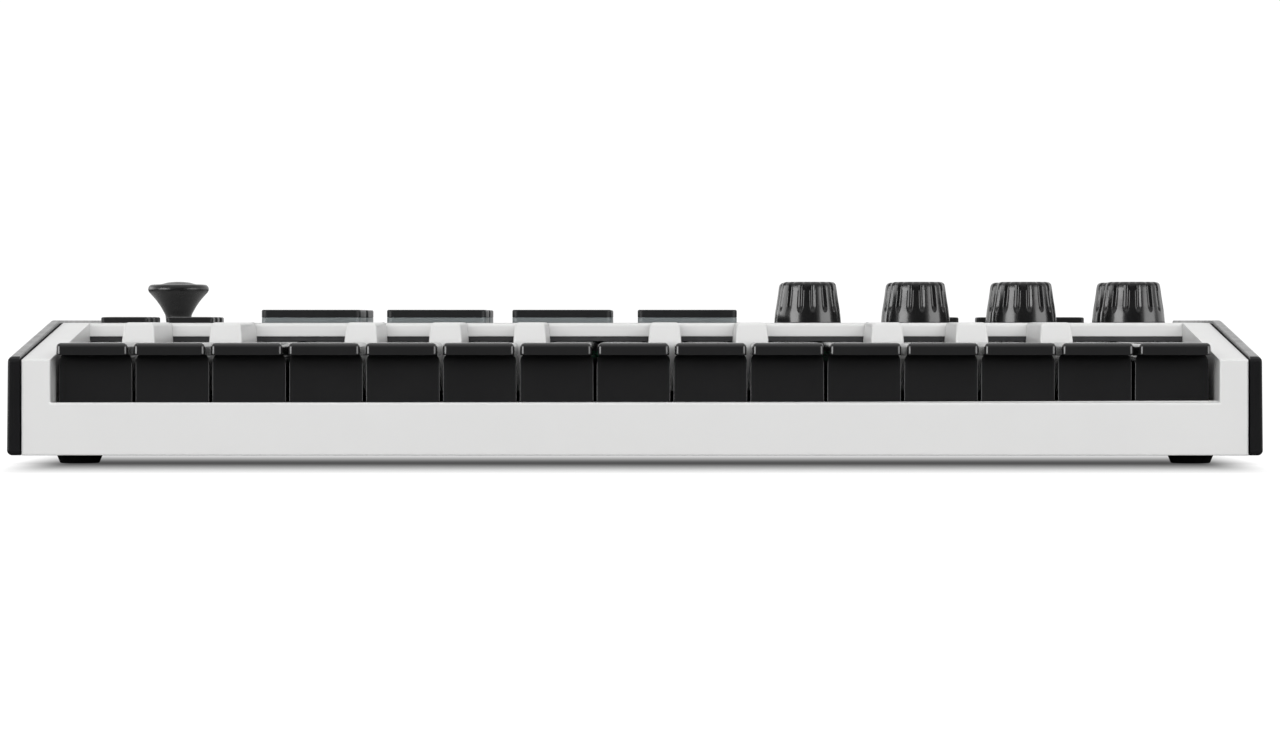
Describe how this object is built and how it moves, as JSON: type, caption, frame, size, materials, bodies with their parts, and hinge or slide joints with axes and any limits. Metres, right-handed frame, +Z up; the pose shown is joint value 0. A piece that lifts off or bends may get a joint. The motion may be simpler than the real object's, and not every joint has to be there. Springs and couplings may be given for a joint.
{
  "type": "midi keyboard",
  "caption": "Compact USB keyboard controller with mini keys, soft pads, endless knobs, a thumbstick, rubber buttons and a small display.",
  "frame": {"origin": "on the surface the feet stand on, under the middle of the object's bounding box", "axes": "+X to the player's right along the keys, +Y from the player towards the rear panel, +Z up"},
  "size_m": [0.318, 0.181, 0.0476],
  "materials": {
    "case_white": "satin moulded ABS",
    "cheek_black": "fine textured moulding",
    "chassis_grey": "moulded",
    "board_green": "solder resist",
    "jack_black": "moulded",
    "natural_key_black": "polished",
    "sharp_key_white": "satin",
    "pad_rubber": "smooth silicone over a translucent skirt",
    "button_rubber": "smooth silicone",
    "knob_black": "satin with fluted grip",
    "stick_black": "satin",
    "foot_rubber": "matte",
    "display_glass": "polished dark window",
    "steel": "zinc plated screws and socket shell"
  },
  "bodies": {
    "case": {"top_case": "case_white", "bottom_case": "case_white", "left_cheek": "cheek_black", "right_cheek": "cheek_black", "key_chassis": "chassis_grey", "main_board": "board_green", "pedal_jack": "jack_black"},
    "key_c1": {"key_c1": "natural_key_black"},
    "key_d1": {"key_d1": "natural_key_black"},
    "key_e1": {"key_e1": "natural_key_black"},
    "key_f1": {"key_f1": "natural_key_black"},
    "key_g1": {"key_g1": "natural_key_black"},
    "key_a1": {"key_a1": "natural_key_black"},
    "key_b1": {"key_b1": "natural_key_black"},
    "key_c2": {"key_c2": "natural_key_black"},
    "key_d2": {"key_d2": "natural_key_black"},
    "key_e2": {"key_e2": "natural_key_black"},
    "key_f2": {"key_f2": "natural_key_black"},
    "key_g2": {"key_g2": "natural_key_black"},
    "key_a2": {"key_a2": "natural_key_black"},
    "key_b2": {"key_b2": "natural_key_black"},
    "key_c3": {"key_c3": "natural_key_black"},
    "key_cs1": {"key_cs1": "sharp_key_white"},
    "key_ds1": {"key_ds1": "sharp_key_white"},
    "key_fs1": {"key_fs1": "sharp_key_white"},
    "key_gs1": {"key_gs1": "sharp_key_white"},
    "key_as1": {"key_as1": "sharp_key_white"},
    "key_cs2": {"key_cs2": "sharp_key_white"},
    "key_ds2": {"key_ds2": "sharp_key_white"},
    "key_fs2": {"key_fs2": "sharp_key_white"},
    "key_gs2": {"key_gs2": "sharp_key_white"},
    "key_as2": {"key_as2": "sharp_key_white"},
    "pad_1": {"pad_1": "pad_rubber"},
    "pad_2": {"pad_2": "pad_rubber"},
    "pad_3": {"pad_3": "pad_rubber"},
    "pad_4": {"pad_4": "pad_rubber"},
    "pad_5": {"pad_5": "pad_rubber"},
    "pad_6": {"pad_6": "pad_rubber"},
    "pad_7": {"pad_7": "pad_rubber"},
    "pad_8": {"pad_8": "pad_rubber"},
    "button_octave_down": {"button_octave_down": "button_rubber"},
    "button_octave_up": {"button_octave_up": "button_rubber"},
    "button_full_level": {"button_full_level": "button_rubber"},
    "button_note_repeat": {"button_note_repeat": "button_rubber"},
    "button_arpeggiator": {"button_arpeggiator": "button_rubber"},
    "button_tap_tempo": {"button_tap_tempo": "button_rubber"},
    "button_bank": {"button_bank": "button_rubber"},
    "button_control_change": {"button_control_change": "button_rubber"},
    "button_program_change": {"button_program_change": "button_rubber"},
    "button_program_select": {"button_program_select": "button_rubber"},
    "knob_1": {"knob_1": "knob_black"},
    "knob_2": {"knob_2": "knob_black"},
    "knob_3": {"knob_3": "knob_black"},
    "knob_4": {"knob_4": "knob_black"},
    "knob_5": {"knob_5": "knob_black"},
    "knob_6": {"knob_6": "knob_black"},
    "knob_7": {"knob_7": "knob_black"},
    "knob_8": {"knob_8": "knob_black"},
    "joystick_gimbal": {"joystick_gimbal": "chassis_grey"},
    "joystick_stick": {"joystick_stick": "stick_black"}
  },
  "joints": [
    {"name": "key_c1_press", "type": "hinge", "parent": "case", "child": "key_c1", "pos_m": [-0.1408, 0.0595, 0.02], "axis": [1, 0, 0], "range_deg": [0, 2.2], "stiffness_Nm_per_rad": 0.8, "springref_deg": -5.73},
    {"name": "key_d1_press", "type": "hinge", "parent": "case", "child": "key_d1", "pos_m": [-0.11833, 0.0595, 0.02], "axis": [1, 0, 0], "range_deg": [0, 2.2], "stiffness_Nm_per_rad": 0.8, "springref_deg": -5.73},
    {"name": "key_e1_press", "type": "hinge", "parent": "case", "child": "key_e1", "pos_m": [-0.09531, 0.0595, 0.02], "axis": [1, 0, 0], "range_deg": [0, 2.2], "stiffness_Nm_per_rad": 0.8, "springref_deg": -5.73},
    {"name": "key_f1_press", "type": "hinge", "parent": "case", "child": "key_f1", "pos_m": [-0.08231, 0.0595, 0.02], "axis": [1, 0, 0], "range_deg": [0, 2.2], "stiffness_Nm_per_rad": 0.8, "springref_deg": -5.73},
    {"name": "key_g1_press", "type": "hinge", "parent": "case", "child": "key_g1", "pos_m": [-0.06059, 0.0595, 0.02], "axis": [1, 0, 0], "range_deg": [0, 2.2], "stiffness_Nm_per_rad": 0.8, "springref_deg": -5.73},
    {"name": "key_a1_press", "type": "hinge", "parent": "case", "child": "key_a1", "pos_m": [-0.03856, 0.0595, 0.02], "axis": [1, 0, 0], "range_deg": [0, 2.2], "stiffness_Nm_per_rad": 0.8, "springref_deg": -5.73},
    {"name": "key_b1_press", "type": "hinge", "parent": "case", "child": "key_b1", "pos_m": [-0.01634, 0.0595, 0.02], "axis": [1, 0, 0], "range_deg": [0, 2.2], "stiffness_Nm_per_rad": 0.8, "springref_deg": -5.73},
    {"name": "key_c2_press", "type": "hinge", "parent": "case", "child": "key_c2", "pos_m": [-0.00339, 0.0595, 0.02], "axis": [1, 0, 0], "range_deg": [0, 2.2], "stiffness_Nm_per_rad": 0.8, "springref_deg": -5.73},
    {"name": "key_d2_press", "type": "hinge", "parent": "case", "child": "key_d2", "pos_m": [0.01908, 0.0595, 0.02], "axis": [1, 0, 0], "range_deg": [0, 2.2], "stiffness_Nm_per_rad": 0.8, "springref_deg": -5.73},
    {"name": "key_e2_press", "type": "hinge", "parent": "case", "child": "key_e2", "pos_m": [0.0421, 0.0595, 0.02], "axis": [1, 0, 0], "range_deg": [0, 2.2], "stiffness_Nm_per_rad": 0.8, "springref_deg": -5.73},
    {"name": "key_f2_press", "type": "hinge", "parent": "case", "child": "key_f2", "pos_m": [0.0551, 0.0595, 0.02], "axis": [1, 0, 0], "range_deg": [0, 2.2], "stiffness_Nm_per_rad": 0.8, "springref_deg": -5.73},
    {"name": "key_g2_press", "type": "hinge", "parent": "case", "child": "key_g2", "pos_m": [0.07682, 0.0595, 0.02], "axis": [1, 0, 0], "range_deg": [0, 2.2], "stiffness_Nm_per_rad": 0.8, "springref_deg": -5.73},
    {"name": "key_a2_press", "type": "hinge", "parent": "case", "child": "key_a2", "pos_m": [0.09885, 0.0595, 0.02], "axis": [1, 0, 0], "range_deg": [0, 2.2], "stiffness_Nm_per_rad": 0.8, "springref_deg": -5.73},
    {"name": "key_b2_press", "type": "hinge", "parent": "case", "child": "key_b2", "pos_m": [0.12107, 0.0595, 0.02], "axis": [1, 0, 0], "range_deg": [0, 2.2], "stiffness_Nm_per_rad": 0.8, "springref_deg": -5.73},
    {"name": "key_c3_press", "type": "hinge", "parent": "case", "child": "key_c3", "pos_m": [0.13741, 0.0595, 0.02], "axis": [1, 0, 0], "range_deg": [0, 2.2], "stiffness_Nm_per_rad": 0.8, "springref_deg": -5.73},
    {"name": "key_cs1_press", "type": "hinge", "parent": "case", "child": "key_cs1", "pos_m": [-0.1297, 0.0595, 0.02], "axis": [1, 0, 0], "range_deg": [0, 2.2], "stiffness_Nm_per_rad": 0.8, "springref_deg": -5.73},
    {"name": "key_ds1_press", "type": "hinge", "parent": "case", "child": "key_ds1", "pos_m": [-0.10697, 0.0595, 0.02], "axis": [1, 0, 0], "range_deg": [0, 2.2], "stiffness_Nm_per_rad": 0.8, "springref_deg": -5.73},
    {"name": "key_fs1_press", "type": "hinge", "parent": "case", "child": "key_fs1", "pos_m": [-0.07161, 0.0595, 0.02], "axis": [1, 0, 0], "range_deg": [0, 2.2], "stiffness_Nm_per_rad": 0.8, "springref_deg": -5.73},
    {"name": "key_gs1_press", "type": "hinge", "parent": "case", "child": "key_gs1", "pos_m": [-0.04958, 0.0595, 0.02], "axis": [1, 0, 0], "range_deg": [0, 2.2], "stiffness_Nm_per_rad": 0.8, "springref_deg": -5.73},
    {"name": "key_as1_press", "type": "hinge", "parent": "case", "child": "key_as1", "pos_m": [-0.02755, 0.0595, 0.02], "axis": [1, 0, 0], "range_deg": [0, 2.2], "stiffness_Nm_per_rad": 0.8, "springref_deg": -5.73},
    {"name": "key_cs2_press", "type": "hinge", "parent": "case", "child": "key_cs2", "pos_m": [0.00771, 0.0595, 0.02], "axis": [1, 0, 0], "range_deg": [0, 2.2], "stiffness_Nm_per_rad": 0.8, "springref_deg": -5.73},
    {"name": "key_ds2_press", "type": "hinge", "parent": "case", "child": "key_ds2", "pos_m": [0.03044, 0.0595, 0.02], "axis": [1, 0, 0], "range_deg": [0, 2.2], "stiffness_Nm_per_rad": 0.8, "springref_deg": -5.73},
    {"name": "key_fs2_press", "type": "hinge", "parent": "case", "child": "key_fs2", "pos_m": [0.06581, 0.0595, 0.02], "axis": [1, 0, 0], "range_deg": [0, 2.2], "stiffness_Nm_per_rad": 0.8, "springref_deg": -5.73},
    {"name": "key_gs2_press", "type": "hinge", "parent": "case", "child": "key_gs2", "pos_m": [0.08783, 0.0595, 0.02], "axis": [1, 0, 0], "range_deg": [0, 2.2], "stiffness_Nm_per_rad": 0.8, "springref_deg": -5.73},
    {"name": "key_as2_press", "type": "hinge", "parent": "case", "child": "key_as2", "pos_m": [0.10987, 0.0595, 0.02], "axis": [1, 0, 0], "range_deg": [0, 2.2], "stiffness_Nm_per_rad": 0.8, "springref_deg": -5.73},
    {"name": "pad_1_press", "type": "slide", "parent": "case", "child": "pad_1", "axis": [0, 0, -1], "range_m": [0, 0.0007], "stiffness_N_per_m": 2000, "springref_m": -0.0005},
    {"name": "pad_2_press", "type": "slide", "parent": "case", "child": "pad_2", "axis": [0, 0, -1], "range_m": [0, 0.0007], "stiffness_N_per_m": 2000, "springref_m": -0.0005},
    {"name": "pad_3_press", "type": "slide", "parent": "case", "child": "pad_3", "axis": [0, 0, -1], "range_m": [0, 0.0007], "stiffness_N_per_m": 2000, "springref_m": -0.0005},
    {"name": "pad_4_press", "type": "slide", "parent": "case", "child": "pad_4", "axis": [0, 0, -1], "range_m": [0, 0.0007], "stiffness_N_per_m": 2000, "springref_m": -0.0005},
    {"name": "pad_5_press", "type": "slide", "parent": "case", "child": "pad_5", "axis": [0, 0, -1], "range_m": [0, 0.0007], "stiffness_N_per_m": 2000, "springref_m": -0.0005},
    {"name": "pad_6_press", "type": "slide", "parent": "case", "child": "pad_6", "axis": [0, 0, -1], "range_m": [0, 0.0007], "stiffness_N_per_m": 2000, "springref_m": -0.0005},
    {"name": "pad_7_press", "type": "slide", "parent": "case", "child": "pad_7", "axis": [0, 0, -1], "range_m": [0, 0.0007], "stiffness_N_per_m": 2000, "springref_m": -0.0005},
    {"name": "pad_8_press", "type": "slide", "parent": "case", "child": "pad_8", "axis": [0, 0, -1], "range_m": [0, 0.0007], "stiffness_N_per_m": 2000, "springref_m": -0.0005},
    {"name": "button_octave_down_press", "type": "slide", "parent": "case", "child": "button_octave_down", "axis": [0, 0, -1], "range_m": [0, 0.0008], "stiffness_N_per_m": 600, "springref_m": -0.0012},
    {"name": "button_octave_up_press", "type": "slide", "parent": "case", "child": "button_octave_up", "axis": [0, 0, -1], "range_m": [0, 0.0008], "stiffness_N_per_m": 600, "springref_m": -0.0012},
    {"name": "button_full_level_press", "type": "slide", "parent": "case", "child": "button_full_level", "axis": [0, 0, -1], "range_m": [0, 0.0008], "stiffness_N_per_m": 600, "springref_m": -0.0012},
    {"name": "button_note_repeat_press", "type": "slide", "parent": "case", "child": "button_note_repeat", "axis": [0, 0, -1], "range_m": [0, 0.0008], "stiffness_N_per_m": 600, "springref_m": -0.0012},
    {"name": "button_arpeggiator_press", "type": "slide", "parent": "case", "child": "button_arpeggiator", "axis": [0, 0, -1], "range_m": [0, 0.0008], "stiffness_N_per_m": 600, "springref_m": -0.0012},
    {"name": "button_tap_tempo_press", "type": "slide", "parent": "case", "child": "button_tap_tempo", "axis": [0, 0, -1], "range_m": [0, 0.0008], "stiffness_N_per_m": 600, "springref_m": -0.0012},
    {"name": "button_bank_press", "type": "slide", "parent": "case", "child": "button_bank", "axis": [0, 0, -1], "range_m": [0, 0.0008], "stiffness_N_per_m": 600, "springref_m": -0.0012},
    {"name": "button_control_change_press", "type": "slide", "parent": "case", "child": "button_control_change", "axis": [0, 0, -1], "range_m": [0, 0.0008], "stiffness_N_per_m": 600, "springref_m": -0.0012},
    {"name": "button_program_change_press", "type": "slide", "parent": "case", "child": "button_program_change", "axis": [0, 0, -1], "range_m": [0, 0.0008], "stiffness_N_per_m": 600, "springref_m": -0.0012},
    {"name": "button_program_select_press", "type": "slide", "parent": "case", "child": "button_program_select", "axis": [0, 0, -1], "range_m": [0, 0.0008], "stiffness_N_per_m": 600, "springref_m": -0.0012},
    {"name": "knob_1_turn", "type": "hinge", "parent": "case", "child": "knob_1", "pos_m": [0.0477, 0.0469, 0.03584], "axis": [0, 0, 1], "continuous": true},
    {"name": "knob_2_turn", "type": "hinge", "parent": "case", "child": "knob_2", "pos_m": [0.0778, 0.0469, 0.03584], "axis": [0, 0, 1], "continuous": true},
    {"name": "knob_3_turn", "type": "hinge", "parent": "case", "child": "knob_3", "pos_m": [0.1073, 0.0469, 0.03584], "axis": [0, 0, 1], "continuous": true},
    {"name": "knob_4_turn", "type": "hinge", "parent": "case", "child": "knob_4", "pos_m": [0.1373, 0.0469, 0.03584], "axis": [0, 0, 1], "continuous": true},
    {"name": "knob_5_turn", "type": "hinge", "parent": "case", "child": "knob_5", "pos_m": [0.0477, 0.0225, 0.03584], "axis": [0, 0, 1], "continuous": true},
    {"name": "knob_6_turn", "type": "hinge", "parent": "case", "child": "knob_6", "pos_m": [0.0778, 0.0225, 0.03584], "axis": [0, 0, 1], "continuous": true},
    {"name": "knob_7_turn", "type": "hinge", "parent": "case", "child": "knob_7", "pos_m": [0.1073, 0.0225, 0.03584], "axis": [0, 0, 1], "continuous": true},
    {"name": "knob_8_turn", "type": "hinge", "parent": "case", "child": "knob_8", "pos_m": [0.1373, 0.0225, 0.03584], "axis": [0, 0, 1], "continuous": true},
    {"name": "joystick_tilt_y", "type": "hinge", "parent": "case", "child": "joystick_gimbal", "pos_m": [-0.13052, 0.0595, 0.0305], "axis": [1, 0, 0], "range_deg": [-15, 15], "stiffness_Nm_per_rad": 0.02},
    {"name": "joystick_tilt_x", "type": "hinge", "parent": "joystick_gimbal", "child": "joystick_stick", "pos_m": [-0.13052, 0.0595, 0.0305], "axis": [0, 1, 0], "range_deg": [-15, 15], "stiffness_Nm_per_rad": 0.02}
  ]
}
